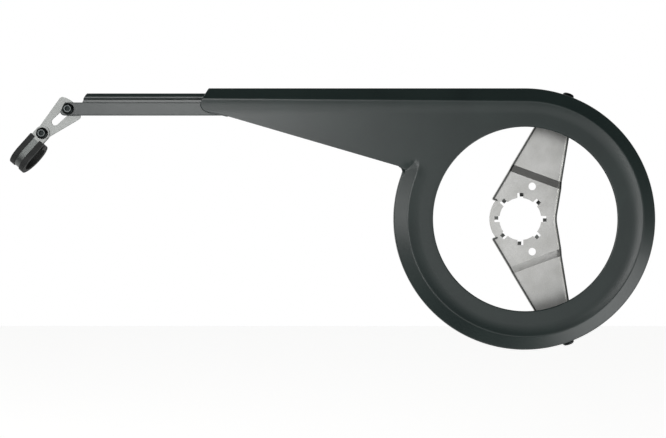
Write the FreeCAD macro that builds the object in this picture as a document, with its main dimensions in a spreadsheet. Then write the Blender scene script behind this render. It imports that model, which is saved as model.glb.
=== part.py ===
import FreeCAD, Part

import math
import os
import re

import Sketcher

# Bicycle chain guard: a moulded ring round the chainring with a long tail over the upper chain run,
# a stay, a slotted link and a rubber lined clip for the chainstay, and a sheet steel bracket that the
# bottom bracket cup clamps. Millimetres. The origin is the centre of the bracket's bore on the face
# that meets the bottom bracket shell, +X points to the front wheel and +Z up. The outside of the guard
# faces -Y, and every depth named "out" is measured that way from the origin, so out = -Y.

SIZES = {
    # moulded shell
    "wall": 2.0,
    "ring_radius": 106.2,
    "face_width": 10.5,
    "ramp_width": 10.0,
    "band_width": 11.2,
    "tail_band_width": 9.2,
    "face_out": 25.5,
    "ridge_rise": 2.0,
    "band_fall": 6.0,
    "rim_in": 1.0,
    "band_end_angle": 152.0,
    "tail_reach": 262.8,
    "tail_slope": 16.26,
    "knee_setback": 22.3,
    "knee_drop": 23.7,
    "tip_drop": 19.5,
    "tip_round": 6.0,
    "tip_lean": 1.6,
    "end_slant": 5.6,
    "root_fillet": 4.0,
    "lip_depth": 3.5,
    "chain_gap_start": 213.0,
    "chain_gap_end": 240.0,
    # radial screws at the rim
    "arm_angle": 70.0,
    "rim_screw_setback": 5.5,
    "seat_sink": 0.2,
    "seat_clearance": 0.45,
    "tab_flat": 1.0,
    "screw_radius": 2.5,
    "screw_clearance": 0.1,
    "running_clearance": 0.06,
    "head_radius": 4.75,
    "head_height": 2.75,
    "nut_flats": 8.0,
    "nut_height": 4.0,
    "thread_end": 1.0,
    "washer_radius": 5.0,
    "washer_height": 1.0,
    # sheet steel bracket
    "sheet": 1.5,
    "bore_radius": 17.5,
    "notch_depth": 4.1,
    "disc_rim": 4.0,
    "joggle_setback": 8.9,
    "joggle_run": 5.9,
    "joggle_drop": 4.0,
    "tab_setback": 1.5,
    "tab_half_width": 9.8,
    "arm_flare": 0.19,
    "arm_root": 7.0,
    "flange_height": 3.0,
    "flange_setback": 9.6,
    "bend_radius": 1.2,
    "notch_width": 5.0,
    "tooth_width": 1.9,
    "tooth_setback": 1.1,
    "tooth_shift": 0.9,
    "notch_step_angle": 36.0,
    "spare_hole_radius": 3.15,
    "spare_hole_rim": 7.2,
    # moulded stay
    "stay_overlap": 57.8,
    "stay_overhang": 114.4,
    "stay_web": 2.5,
    "stay_groove": 1.3,
    "stay_drop": 4.0,
    "bead_height": 5.2,
    "groove_height": 2.2,
    "web_height": 10.6,
    "bead_depth": 4.5,
    "bead_setback": 21.9,
    "bead_slant": 4.4,
    "bead_round": 1.0,
    "end_round": 3.0,
    "web_slant": 3.7,
    "fixing_radius": 1.7,
    "fixing_clearance": 0.05,
    "fixing_head_radius": 3.5,
    "fixing_head_height": 2.4,
    "fixing_rise": 5.2,
    "fixing_setback": 17.8,
    "fixing_spacing": 29.0,
    "boss_radius": 4.0,
    "boss_height": 4.0,
    # slotted link
    "stay_screw_setback": 6.4,
    "stay_screw_rise": 5.35,
    "link_angle": 42.5,
    "link_length": 29.2,
    "link_sheet": 2.0,
    "link_end_radius": 5.3,
    "link_half_width": 11.5,
    "link_corner": 3.3,
    "link_far_radius": 18.7,
    "slot_clearance": 0.5,
    "slot_length": 15.2,
    # rubber lined clip
    "clip_angle": 228.2,
    "band_sheet": 1.0,
    "clip_width": 12.0,
    "ear_radius": 6.0,
    "loop_reach": 21.7,
    "clip_bore_radius": 10.75,
    "rubber_inside": 2.0,
    "rubber_edge": 1.0,
    "rubber_outside": 0.8,
    "rubber_window": 5.2,
    "rubber_setback": 0.8,
    "ear_bend_radius": 3.0,
}

# Lengths and places that follow from the sizes above.
FOLLOWING = {
    "ridge_radius": "ring_radius - band_width",
    "tail_ridge": "ring_radius - tail_band_width",
    "ramp_start": "ridge_radius - ramp_width",
    "ring_opening": "ramp_start - face_width",
    "ridge_out": "face_out + ridge_rise",
    "rim_out": "ridge_out - band_fall",
    "chain_gap_out": "rim_out - wall",
    "tail_knee_reach": "tail_reach - knee_setback",
    "tail_knee_height": "ring_radius - knee_drop",
    "tail_tip_height": "ring_radius - tip_drop",
    # the fillet's centre between the rim and the tail's lower edge: across that edge, then along it
    "root_across": "tail_knee_height * cos(tail_slope) - tail_knee_reach * sin(tail_slope) - root_fillet",
    "root_along": "sqrt((ring_radius + root_fillet)^2 - root_across^2)",
    "root_x": "root_across * sin(tail_slope) - root_along * cos(tail_slope)",
    "root_z": "root_across * cos(tail_slope) + root_along * sin(tail_slope)",
    "rim_screw_out": "rim_out - rim_screw_setback",
    "rim_seat": "ring_radius - seat_sink",
    "seat_radius": "head_radius + seat_clearance",
    "tab_face": "ring_radius - wall - tab_flat",
    "tab_out": "rim_out - tab_setback",
    "flange_end": "tab_face - flange_setback",
    "notch_radius": "bore_radius + notch_depth",
    "disc_radius": "notch_radius + disc_rim",
    "tooth_radius": "bore_radius + tooth_setback",
    "spare_hole_reach": "notch_radius + spare_hole_rim",
    "joggle_start": "disc_radius + joggle_setback",
    "joggle_end": "joggle_start + joggle_run",
    "stay_back_out": "face_out - wall - boss_height - stay_web",
    "bead_out": "stay_back_out + bead_depth",
    "stay_end": "tail_reach + stay_overhang",
    "stay_start": "tail_reach - stay_overlap",
    "bead_end": "stay_end - bead_setback",
    "stay_top": "ring_radius - stay_drop",
    "stay_bead_low": "stay_top - bead_height",
    "stay_web_top": "stay_bead_low - groove_height",
    "stay_low": "stay_web_top - web_height",
    "fixing_height": "stay_low + fixing_rise",
    "fixing_depth": "boss_height + wall / 2",
    "rear_fixing_reach": "tail_reach - fixing_setback",
    "front_fixing_reach": "rear_fixing_reach - fixing_spacing",
    "stay_screw_reach": "stay_end - stay_screw_setback",
    "stay_screw_height": "stay_low + stay_screw_rise",
    "slot_half_width": "screw_radius + slot_clearance",
    "rubber_start": "washer_radius + rubber_setback",
}

DOC = FreeCAD.newDocument("chain_guard")
SHEET = DOC.addObject("Spreadsheet::Sheet", "sizes")
for row, (alias, value) in enumerate(SIZES.items(), start=1):
    SHEET.set("A%d" % row, alias)
    SHEET.set("B%d" % row, str(value))
    SHEET.setAlias("B%d" % row, alias)
DOC.recompute()

NODES = []


def linked(text):
    """The expression with each name pointing at its cell, or written out where it follows from others."""
    def spell(word):
        name = word.group()
        if name in FOLLOWING:
            return "(%s)" % linked(FOLLOWING[name])
        return "sizes." + name if name in SIZES else name
    return re.sub("[a-z_]+", spell, text)


def size(text):
    """The value of an expression of named sizes."""
    return float(SHEET.evalExpression(linked(text)))


def new_body(name):
    body = DOC.addObject("PartDesign::Body", name)
    body.Label = name
    NODES.append(body)
    return body


def new_sketch(body, role, offset=None):
    """A sketch on one of the body's own origin planes, moved along that plane's normal."""
    plane = next(item for item in body.Origin.OriginFeatures if item.Role == role)
    sketch = body.newObject("Sketcher::SketchObject", body.Name + "_sketch")
    sketch.AttachmentSupport = [(plane, "")]
    sketch.MapMode = "FlatFace"
    if offset:
        sketch.setExpression("AttachmentOffset.Base.z", linked(offset))
    return sketch


def pin_down(sketch, kind, geometry, position, text):
    """One dimension of a sketch, bound to the sheet."""
    if kind == "Radius":
        index = sketch.addConstraint(Sketcher.Constraint(kind, geometry, size(text)))
    else:
        index = sketch.addConstraint(Sketcher.Constraint(kind, -1, 1, geometry, position, size(text)))
    sketch.setExpression("Constraints[%d]" % index, linked(text))


def arc_between(start, end, radius):
    """The short arc between two points: anticlockwise for a positive radius."""
    along = end.sub(start)
    side = FreeCAD.Vector(-along.y, along.x, 0).normalize()
    reach = math.sqrt(radius ** 2 - (along.Length / 2) ** 2)
    centre = start.add(along * 0.5).add(side * math.copysign(reach, radius))
    first, last = (start, end) if radius > 0 else (end, start)
    angles = [math.atan2(spot.y - centre.y, spot.x - centre.x) for spot in (first, last)]
    circle = Part.Circle(centre, FreeCAD.Vector(0, 0, 1), abs(radius))
    return Part.ArcOfCircle(circle, angles[0], angles[1])


def draw_path(sketch, corners, closed=False):
    """Lines and arcs through corners: each is x, y and, where an arc leads on, that arc's radius."""
    spots = [FreeCAD.Vector(size(corner[0]), size(corner[1]), 0) for corner in corners]
    first = sketch.GeometryCount
    count = len(corners) if closed else len(corners) - 1
    ends = []
    for index, corner in enumerate(corners[:count]):
        start, end = spots[index], spots[(index + 1) % len(spots)]
        radius = size(corner[2]) if len(corner) == 3 else 0
        edge = arc_between(start, end, radius) if radius else Part.LineSegment(start, end)
        sketch.addGeometry(edge, False)
        ends.append((2, 1) if radius < 0 else (1, 2))
        if radius:
            pin_down(sketch, "Radius", first + index, 0, "abs(%s)" % corner[2])
    for index, (start, end) in enumerate(ends):
        pin_down(sketch, "DistanceX", first + index, start, corners[index][0])
        pin_down(sketch, "DistanceY", first + index, start, corners[index][1])
        following = (index + 1) % count
        if closed or following:
            sketch.addConstraint(Sketcher.Constraint(
                "Coincident", first + index, end, first + following, ends[following][0]))
    if not closed:
        pin_down(sketch, "DistanceX", first + count - 1, ends[-1][1], corners[-1][0])
        pin_down(sketch, "DistanceY", first + count - 1, ends[-1][1], corners[-1][1])


def draw_outline(sketch, corners):
    draw_path(sketch, corners, closed=True)


def draw_circle(sketch, x, y, radius):
    centre = FreeCAD.Vector(size(x), size(y), 0)
    index = sketch.addGeometry(Part.Circle(centre, FreeCAD.Vector(0, 0, 1), size(radius)), False)
    pin_down(sketch, "DistanceX", index, 3, x)
    pin_down(sketch, "DistanceY", index, 3, y)
    pin_down(sketch, "Radius", index, 0, radius)


def add_feature(body, kind, sketch, length=None, reverse=False):
    """A Pad, Pocket or Revolution of a sketch; its length comes from the sheet."""
    feature = body.newObject("PartDesign::" + kind, body.Name + "_" + kind.lower())
    feature.Profile = sketch
    if length:
        feature.setExpression("Length", linked(length))
    feature.Reversed = reverse
    DOC.recompute()
    return feature


def revolve(body, sketch, axis, angle="360"):
    feature = body.newObject("PartDesign::Revolution", body.Name + "_turned")
    feature.Profile = sketch
    feature.ReferenceAxis = (sketch, [axis])
    feature.setExpression("Angle", linked(angle))
    DOC.recompute()
    return feature


def place(item, base, rotation):
    """Puts a piece at a point given as three expressions, turned as a whole."""
    item.Placement = FreeCAD.Placement(FreeCAD.Vector(*[size(text) for text in base]), rotation)
    for letter, text in zip("xyz", base):
        item.setExpression("Placement.Base." + letter, linked(text))


def facing_out():
    """Turns a piece's own +Z to the guard's outside."""
    return FreeCAD.Rotation(FreeCAD.Vector(1, 0, 0), 90)


def radial(angle):
    """Turns a piece's own +Z away from the origin, at an angle in the guard's plane."""
    return FreeCAD.Rotation(FreeCAD.Vector(0, 1, 0), 90 - angle)


# shell


def shell_section(foot, ridge):
    """The corners of the shell's section in the plane of Y and radius, from its inner edge to its rim."""
    ramp = "((%s - ramp_start)^2 + (ridge_out - face_out)^2) / (2 * (ridge_out - face_out))"
    inner_ridge = "(%s - wall / 4)" % ridge
    band_angle = "atan((ring_radius - %s) / (ridge_out - rim_out))" % ridge
    return [
        ("-face_out", foot),
        ("-face_out", "ramp_start", ramp % ridge),
        ("-ridge_out", ridge),
        ("-rim_out", "ring_radius"),
        ("-rim_in", "ring_radius"),
        ("-rim_in", "ring_radius - wall"),
        ("-rim_out + wall * tan(%s / 2)" % band_angle, "ring_radius - wall"),
        ("-ridge_out + wall", inner_ridge, "-" + ramp % inner_ridge),
        ("-face_out + wall", "ramp_start"),
        ("-face_out + wall", foot),
    ]


def polar(radius, angle):
    """A point given by its radius and angle, as two expressions."""
    return "(%s) * cos(%s)" % (radius, angle), "(%s) * sin(%s)" % (radius, angle)


def tail_edge(inset):
    """The tail's lower edge and its rounded tip, from the ring to the ridge, moved inward by an inset."""
    aside, above = "(%s) * sin(tail_slope)" % inset, "(%s) * cos(tail_slope)" % inset
    return [
        ("root_x + root_fillet * sin(tail_slope) + " + aside,
         "root_z + root_fillet * cos(tail_slope) + " + above),
        ("-tail_knee_reach + " + aside, "tail_knee_height + " + above),
        ("-tail_reach + tip_round", "tail_tip_height + " + inset, "%s - tip_round" % inset),
        ("-tail_reach + " + inset, "tail_tip_height + tip_round"),
        ("-tail_reach + tip_lean + " + inset, "tail_ridge"),
    ]


def shell_ring(body):
    sketch = new_sketch(body, "YZ_Plane")
    draw_outline(sketch, shell_section("ring_opening", "ridge_radius"))
    revolve(body, sketch, "H_Axis", "450 - band_end_angle")


def shell_top(body):
    """The ridge, band and rim carried on along the tail's top."""
    sections = []
    for ridge, reach in (("ridge_radius", None), ("tail_ridge", "-tail_reach - wall")):
        sketch = new_sketch(body, "YZ_Plane", reach)
        draw_outline(sketch, shell_section("ramp_start - 2 * wall", ridge))
        sections.append(sketch)
    loft = body.newObject("PartDesign::AdditiveLoft", "shell_top")
    loft.Profile = sections[0]
    loft.Sections = sections[1:]
    loft.Ruled = True
    DOC.recompute()


def shell_face(body):
    """The flat tail between the ring and the top, trimmed to the tail's tip with its slanted end."""
    sketch = new_sketch(body, "XZ_Plane", "face_out - wall")
    draw_outline(sketch, [
        polar("ring_opening", "band_end_angle") + ("-ring_opening",),
        ("0", "ring_opening"),
        ("0", "ramp_start"),
        ("-tail_reach - wall", "ramp_start"),
        ("-tail_reach - wall", "tail_knee_height"),
        tail_edge("0")[1],
        tail_edge("0")[0],
        polar("ring_radius", "band_end_angle"),
    ])
    add_feature(body, "Pad", sketch, "wall")
    knee, tip, side, ridge = tail_edge("0")[1:]
    trim = new_sketch(body, "XZ_Plane")
    draw_outline(trim, [
        ("-tail_reach - 2 * wall", "ring_radius + wall"),
        ("-tail_reach - 2 * wall", "root_z"),
        ("-tail_knee_reach", "root_z"),
        knee,
        tip[:2] + ("-tip_round",),
        side,
        ridge,
        ("-tail_reach + tip_lean + end_slant", "ring_radius + wall"),
    ])
    add_feature(body, "Pocket", trim, "2 * ridge_out", reverse=True)


def shell_lip(body):
    """The return along the tail's lower edge and tip."""
    outer, inner = tail_edge("0"), tail_edge("wall")
    inner_side, inner_tip = inner[3] + ("tip_round - wall",), inner[2][:2]
    sketch = new_sketch(body, "XZ_Plane", "face_out - lip_depth")
    draw_outline(sketch, outer + [inner[4], inner_side, inner_tip, inner[1], inner[0]])
    add_feature(body, "Pad", sketch, "lip_depth")


def shell_root(body):
    """The wall that closes the band's end and carries the rim up to the tail's lower edge."""
    sketch = new_sketch(body, "XZ_Plane", "rim_out - wall")
    inner = "(ring_radius - wall) / (ring_radius + root_fillet)"
    outer = "ring_radius / (ring_radius + root_fillet)"
    wall_end = "band_end_angle - 90 * wall / ring_radius"
    draw_outline(sketch, [
        polar("ramp_start", wall_end),
        polar("ramp_start", "band_end_angle"),
        polar("ring_radius - wall", "band_end_angle") + ("ring_radius - wall",),
        ("root_x * " + inner, "root_z * " + inner),
        ("root_x * " + outer, "root_z * " + outer, "root_fillet"),
        tail_edge("0")[0],
        tail_edge("wall")[0],
        polar("ring_radius + wall / 2", wall_end),
    ])
    add_feature(body, "Pad", sketch, "face_out - rim_out + wall")


def shell_chain_gap(body):
    """The gap in the rim where the lower chain run leaves; the band still hides it from outside."""
    sketch = new_sketch(body, "XZ_Plane")
    draw_outline(sketch, [
        polar("ring_radius - 2 * wall", "chain_gap_start"),
        polar("ring_radius + 4 * wall", "chain_gap_start"),
        polar("ring_radius + 4 * wall", "chain_gap_end"),
        polar("ring_radius - 2 * wall", "chain_gap_end"),
    ])
    add_feature(body, "Pocket", sketch, "chain_gap_out", reverse=True)


def shell_stay_bosses(body):
    """Two bosses behind the face that the stay's screws bite into."""
    for kind, radius, length in (
            ("Pad", "boss_radius", "face_out - wall / 2 - stay_back_out - stay_web"),
            ("Pocket", "fixing_radius + fixing_clearance", "fixing_depth")):
        sketch = new_sketch(body, "XZ_Plane", "stay_back_out + stay_web")
        for reach in ("front_fixing_reach", "rear_fixing_reach"):
            draw_circle(sketch, "-" + reach, "fixing_height", radius)
        add_feature(body, kind, sketch, length, reverse=kind == "Pocket")


def shell_rim_seats(body):
    """A flat inside the rim for each bracket tab, with the screw's hole and its seat outside."""
    for angle in (size("arm_angle"), -size("arm_angle")):
        turn = radial(angle)
        half_width = size("tab_half_width + wall / 2")
        flat = body.newObject("PartDesign::AdditiveBox", "tab_flat")
        flat.Length = 2 * half_width
        flat.setExpression("Width", linked("tab_out - rim_in - wall"))
        flat.setExpression("Height", linked("ring_radius - wall / 2 - tab_face"))
        flat.Placement = FreeCAD.Placement(
            turn.multVec(FreeCAD.Vector(-half_width, -size("tab_out"), size("tab_face"))), turn)
        for name, radius, start in (("screw_hole", "screw_radius + screw_clearance", "tab_face - wall"),
                                    ("screw_seat", "seat_radius", "rim_seat")):
            cut = body.newObject("PartDesign::SubtractiveCylinder", name)
            cut.setExpression("Radius", linked(radius))
            cut.setExpression("Height", linked("ring_radius + 2 * wall - (%s)" % start))
            cut.Placement = FreeCAD.Placement(
                turn.multVec(FreeCAD.Vector(0, -size("rim_screw_out"), size(start))), turn)
    DOC.recompute()


def guard_shell():
    body = new_body("guard_shell")
    shell_ring(body)
    shell_top(body)
    shell_face(body)
    shell_lip(body)
    shell_root(body)
    shell_chain_gap(body)
    shell_stay_bosses(body)
    shell_rim_seats(body)


# bracket


def rounded_wire(corners):
    """A closed wire through corners given as x, y and a rounding radius, 0 for a sharp one."""
    spots = [FreeCAD.Vector(x, y, 0) for x, y, radius in corners]
    edges = []
    starts, ends = [], []
    for index, (x, y, radius) in enumerate(corners):
        here, before, after = spots[index], spots[index - 1], spots[(index + 1) % len(spots)]
        back, ahead = before.sub(here).normalize(), after.sub(here).normalize()
        trim = radius / math.tan(back.getAngle(ahead) / 2) if radius else 0
        starts.append(here.add(back * trim))
        ends.append(here.add(ahead * trim))
        if radius:
            middle = back.add(ahead).normalize()
            depth = radius / math.sin(back.getAngle(ahead) / 2) - radius
            edges.append(Part.Arc(starts[-1], here.add(middle * depth), ends[-1]).toShape())
    for index, end in enumerate(ends):
        edges.append(Part.makeLine(end, starts[(index + 1) % len(starts)]))
    return Part.Wire(Part.__sortEdges__(edges))


def prism(wire, low, high):
    """The solid of a wire drawn in X and Z, between two depths measured outward."""
    face = Part.Face(wire)
    face.translate(FreeCAD.Vector(0, 0, low))
    solid = face.extrude(FreeCAD.Vector(0, 0, high - low))
    solid.rotate(FreeCAD.Vector(0, 0, 0), FreeCAD.Vector(1, 0, 0), 90)
    return solid


def arm_point(along, aside):
    """A point in X and Z from its place along and across the upper arm."""
    angle = math.radians(size("arm_angle"))
    return (along * math.cos(angle) - aside * math.sin(angle),
            along * math.sin(angle) + aside * math.cos(angle))


def bracket_plan():
    """The bracket's outline: two arms that widen to the disc round the bore."""
    reach, tip, root = size("tab_face"), size("tab_half_width"), size("arm_root")
    flare, disc = size("arm_flare"), size("disc_radius")
    shoulder = tip + (reach - root) * flare
    left_tip, right_tip = arm_point(reach, tip), arm_point(reach, -tip)
    left_root, right_root = arm_point(root, shoulder), arm_point(root, -shoulder)
    lean = (right_tip[0] - right_root[0]) / (right_tip[1] - right_root[1])
    waist = right_root[0] - right_root[1] * lean
    step = math.radians(size("notch_step_angle"))
    disc_end = (-disc * math.cos(step), disc * math.sin(step))
    upper = [(waist, 0, disc), right_tip + (0,), left_tip + (0,), left_root + (size("bend_radius"),),
             disc_end + (0,)]
    lower = [(x, -y, radius) for x, y, radius in reversed(upper[1:])]
    plan = Part.Face(rounded_wire(upper + lower))
    round_disc = Part.Face(Part.Wire(Part.makeCircle(disc)))
    return plan.fuse(round_disc).removeSplitter().Faces[0].OuterWire


def arm_profile(thickness, start_out, tab):
    """The side view of a joggled arm, with or without the tab that is folded outward at its end."""
    drop, begin, end = size("joggle_drop"), size("joggle_start"), size("joggle_end")
    bend, reach, sheet = size("bend_radius"), size("tab_face"), size("sheet")
    low, high = start_out, start_out + thickness
    far = size("flange_end")
    outline = [(-far, low, 0), (begin, low, bend), (end, low - drop, bend)]
    if tab:
        outline += [(reach, low - drop, bend + sheet), (reach, size("tab_out"), 0),
                    (reach - sheet, size("tab_out"), 0), (reach - sheet, high - drop, bend)]
    else:
        outline += [(far, low - drop, 0), (far, high - drop, 0)]
    return outline + [(end, high - drop, bend), (begin, high, bend), (-far, high, 0)]


def arm_solid(profile):
    """A side view given along the upper arm and outward, extruded across the arm."""
    half = size("tab_face") / 2
    face = Part.Face(rounded_wire(profile))
    solid = face.extrude(FreeCAD.Vector(0, 0, 2 * half))
    solid.translate(FreeCAD.Vector(0, 0, -half))
    solid.rotate(FreeCAD.Vector(0, 0, 0), FreeCAD.Vector(1, 0, 0), 180)
    solid.rotate(FreeCAD.Vector(0, 0, 0), FreeCAD.Vector(0, 1, 0), -size("arm_angle"))
    return solid


def bore_cuts():
    """The bore with its notches, each holding one narrow tooth beside an open slot."""
    sheet, count = size("sheet"), 8
    cut = Part.makeCylinder(size("bore_radius"), 4 * sheet, FreeCAD.Vector(0, 2 * sheet, 0),
                            FreeCAD.Vector(0, -1, 0))
    width, outer, tooth = size("notch_width"), size("notch_radius"), size("tooth_width")
    for index in range(count):
        slot = Part.makeBox(outer, 4 * sheet, width, FreeCAD.Vector(0, -2 * sheet, -width / 2))
        corner = FreeCAD.Vector(size("tooth_radius"), -2 * sheet, -tooth / 2 - size("tooth_shift"))
        peg = Part.makeBox(outer, 4 * sheet, tooth, corner)
        notch = slot.cut(peg)
        notch.rotate(FreeCAD.Vector(0, 0, 0), FreeCAD.Vector(0, 1, 0), 360 / count * index)
        cut = cut.fuse(notch)
    return cut


def frame_bracket():
    sheet, tall = size("sheet"), size("sheet + flange_height")
    plan = bracket_plan()
    inside = Part.Face(plan).makeOffset2D(-sheet).OuterWire
    depth = size("tab_out") + tall
    whole, core = prism(plan, -depth, depth), prism(inside, -depth, depth)
    far = 2 * size("ring_radius")
    upper_half = Part.makeBox(2 * far, 4 * depth, far, FreeCAD.Vector(-far, -2 * depth, 0))
    step = size("disc_radius") * math.sin(math.radians(size("notch_step_angle")))
    disc_edge = Part.makeBox(far, 4 * depth, 2 * step, FreeCAD.Vector(-far, -2 * depth, -step))
    plate = arm_solid(arm_profile(sheet, 0, True)).common(whole).common(upper_half)
    flange = arm_solid(arm_profile(tall, 0, False)).common(whole.cut(core))
    flange = flange.common(upper_half).cut(disc_edge)
    hole = Part.makeCylinder(size("spare_hole_radius"), 2 * depth)
    hole.translate(FreeCAD.Vector(0, 0, -depth))
    hole.rotate(FreeCAD.Vector(0, 0, 0), FreeCAD.Vector(1, 0, 0), 90)
    place_x, place_z = arm_point(size("spare_hole_reach"), 0)
    hole.translate(FreeCAD.Vector(place_x, 0, place_z))
    turn = radial(size("arm_angle"))
    screw = Part.makeCylinder(size("screw_radius + screw_clearance"), 4 * sheet)
    screw.Placement = FreeCAD.Placement(
        turn.multVec(FreeCAD.Vector(0, -size("rim_screw_out"), size("tab_face - 2 * sheet"))), turn)
    half = plate.fuse(flange).cut(hole).cut(screw)
    mirrored = half.mirror(FreeCAD.Vector(0, 0, 0), FreeCAD.Vector(0, 0, 1))
    bracket = DOC.addObject("Part::Feature", "frame_bracket")
    bracket.Shape = half.fuse(mirrored).cut(bore_cuts()).removeSplitter()
    bracket.Label = "frame_bracket"
    NODES.append(bracket)


# fasteners


def hexagon(flats):
    return [polar("(%s) / sqrt(3)" % flats, "%d" % angle) for angle in range(0, 360, 60)]


def socket_screw(name, shank, head, height, length, base, turn):
    """A button head screw with a hexagon socket: its head stands on its own +Z side."""
    body = new_body(name)
    sketch = new_sketch(body, "XZ_Plane")
    draw_outline(sketch, [
        ("0", "-(%s)" % length),
        ("0.8 * " + shank, "-(%s)" % length),
        (shank, "-(%s) + 0.2 * %s" % (length, shank)),
        (shank, "0"),
        (head, "0"),
        (head, "0.2 * " + height, head),
        ("0.45 * " + head, height),
        ("0", height),
    ])
    revolve(body, sketch, "V_Axis")
    top = new_sketch(body, "XY_Plane", height)
    draw_outline(top, hexagon("0.63 * " + head))
    add_feature(body, "Pocket", top, "0.55 * " + height)
    place(body, base, turn)


def nut(name, base, turn):
    body = new_body(name)
    sketch = new_sketch(body, "XY_Plane")
    draw_outline(sketch, hexagon("nut_flats"))
    draw_circle(sketch, "0", "0", "screw_radius + running_clearance")
    add_feature(body, "Pad", sketch, "nut_height")
    place(body, base, turn)


def washer(name, base, turn):
    body = new_body(name)
    sketch = new_sketch(body, "XY_Plane")
    draw_circle(sketch, "0", "0", "washer_radius")
    draw_circle(sketch, "0", "0", "screw_radius + screw_clearance")
    add_feature(body, "Pad", sketch, "washer_height")
    place(body, base, turn)


def rim_fasteners():
    """A radial screw through the rim and the bracket's tab, with its nut, above and below."""
    length = "rim_seat - tab_face + sheet + nut_height + thread_end"
    for name, side in (("upper", ""), ("lower", "-")):
        angle = side + "arm_angle"
        turn = radial(size(angle))
        for kind, reach in (("screw", "rim_seat"), ("nut", "tab_face - sheet - nut_height")):
            x, z = polar(reach, angle)
            base = (x, "-rim_screw_out", z)
            label = name + "_rim_" + kind
            if kind == "screw":
                socket_screw(label, "screw_radius", "head_radius", "head_height", length, base, turn)
            else:
                nut(label, base, turn)


# stay


def rear_stay():
    body = new_body("rear_stay")
    section = new_sketch(body, "YZ_Plane", "-stay_end")
    front, groove = "-stay_back_out - stay_web", "-stay_back_out - stay_groove"
    draw_outline(section, [
        ("-stay_back_out", "stay_low"),
        (front + " + bead_round", "stay_low", "-bead_round"),
        (front, "stay_low + bead_round"),
        (front, "stay_web_top"),
        (groove, "stay_web_top"),
        (groove, "stay_bead_low"),
        ("-bead_out + bead_round", "stay_bead_low", "-bead_round"),
        ("-bead_out", "stay_bead_low + bead_round"),
        ("-bead_out", "stay_top - bead_round", "-bead_round"),
        ("-bead_out + bead_round", "stay_top"),
        ("-stay_back_out", "stay_top"),
    ])
    add_feature(body, "Pad", section, "stay_end - stay_start")
    bead_end = new_sketch(body, "XZ_Plane")
    draw_outline(bead_end, [
        ("-stay_end - wall", "stay_web_top"),
        ("-bead_end - bead_slant", "stay_web_top"),
        ("-bead_end", "stay_top"),
        ("-bead_end", "stay_top + wall"),
        ("-stay_end - wall", "stay_top + wall"),
    ])
    add_feature(body, "Pocket", bead_end, "2 * face_out", reverse=True)
    web_end = new_sketch(body, "XZ_Plane")
    draw_outline(web_end, [
        ("-stay_end - wall", "stay_low - wall"),
        ("-stay_end + end_round", "stay_low - wall"),
        ("-stay_end + end_round", "stay_low", "-end_round"),
        ("-stay_end", "stay_low + end_round"),
        ("-stay_end + web_slant", "stay_web_top"),
        ("-stay_end + web_slant", "stay_web_top + wall"),
        ("-stay_end - wall", "stay_web_top + wall"),
    ])
    add_feature(body, "Pocket", web_end, "2 * face_out", reverse=True)
    holes = new_sketch(body, "XZ_Plane")
    draw_circle(holes, "-stay_screw_reach", "stay_screw_height", "screw_radius + running_clearance")
    for reach in ("front_fixing_reach", "rear_fixing_reach"):
        draw_circle(holes, "-" + reach, "fixing_height", "fixing_radius + fixing_clearance")
    add_feature(body, "Pocket", holes, "2 * face_out", reverse=True)


def stay_fasteners():
    """Two screws from inside hold the stay to the shell; one screw, washer and nut carry the link."""
    facing_in = FreeCAD.Rotation(FreeCAD.Vector(1, 0, 0), -90)
    for name in ("front_fixing", "rear_fixing"):
        socket_screw(name + "_screw", "fixing_radius", "fixing_head_radius", "fixing_head_height",
                     "stay_web + 0.9 * fixing_depth",
                     ("-%s_reach" % name, "-stay_back_out", "fixing_height"), facing_in)
    length = "stay_web + link_sheet + washer_height + nut_height + thread_end"
    reach, height = "-stay_screw_reach", "stay_screw_height"
    socket_screw("stay_screw", "screw_radius", "head_radius", "head_height", length,
                 (reach, "-stay_back_out - stay_web", height), facing_out())
    washer("stay_washer", (reach, "-stay_back_out + link_sheet + washer_height", height), facing_out())
    nut("stay_nut", (reach, "-stay_back_out + link_sheet + washer_height + nut_height", height),
        facing_out())


# link and clip


CLIP_X = "-stay_screw_reach - link_length * cos(link_angle)"
CLIP_Z = "stay_screw_height - link_length * sin(link_angle)"


def slotted_link():
    """A steel wedge drawn from the clip screw's hole, its slot running to the stay screw."""
    body = new_body("slotted_link")
    sketch = new_sketch(body, "XY_Plane")
    end, wide = "link_end_radius", "link_half_width"
    corner = "link_length + link_corner"
    draw_outline(sketch, [
        ("0", end, end),
        ("-" + end, "0", end),
        ("0", "-" + end),
        ("link_length", "-" + wide, "link_corner"),
        (corner, "-%s + link_corner / 3" % wide, "link_far_radius"),
        (corner, "%s - link_corner / 3" % wide, "link_corner"),
        ("link_length", wide),
    ])
    slot_start = "link_length - slot_length"
    draw_outline(sketch, [
        (slot_start, "-slot_half_width"),
        ("link_length", "-slot_half_width", "slot_half_width"),
        ("link_length + slot_half_width", "0", "slot_half_width"),
        ("link_length", "slot_half_width"),
        (slot_start, "slot_half_width", "slot_half_width"),
        (slot_start + " - slot_half_width", "0", "slot_half_width"),
    ])
    draw_circle(sketch, "0", "0", "screw_radius + running_clearance")
    add_feature(body, "Pad", sketch, "link_sheet")
    upright = facing_out().multiply(FreeCAD.Rotation(FreeCAD.Vector(0, 0, 1), size("link_angle")))
    place(body, (CLIP_X, "-stay_back_out + link_sheet", CLIP_Z), upright)


def place_clip(body):
    """The clip is drawn with +X away from its screw and +Y inboard, from the front ear's outer face."""
    turn = FreeCAD.Rotation(FreeCAD.Vector(0, 1, 0), -size("clip_angle"))
    place(body, (CLIP_X, "-stay_back_out - band_sheet", CLIP_Z), turn)


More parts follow.
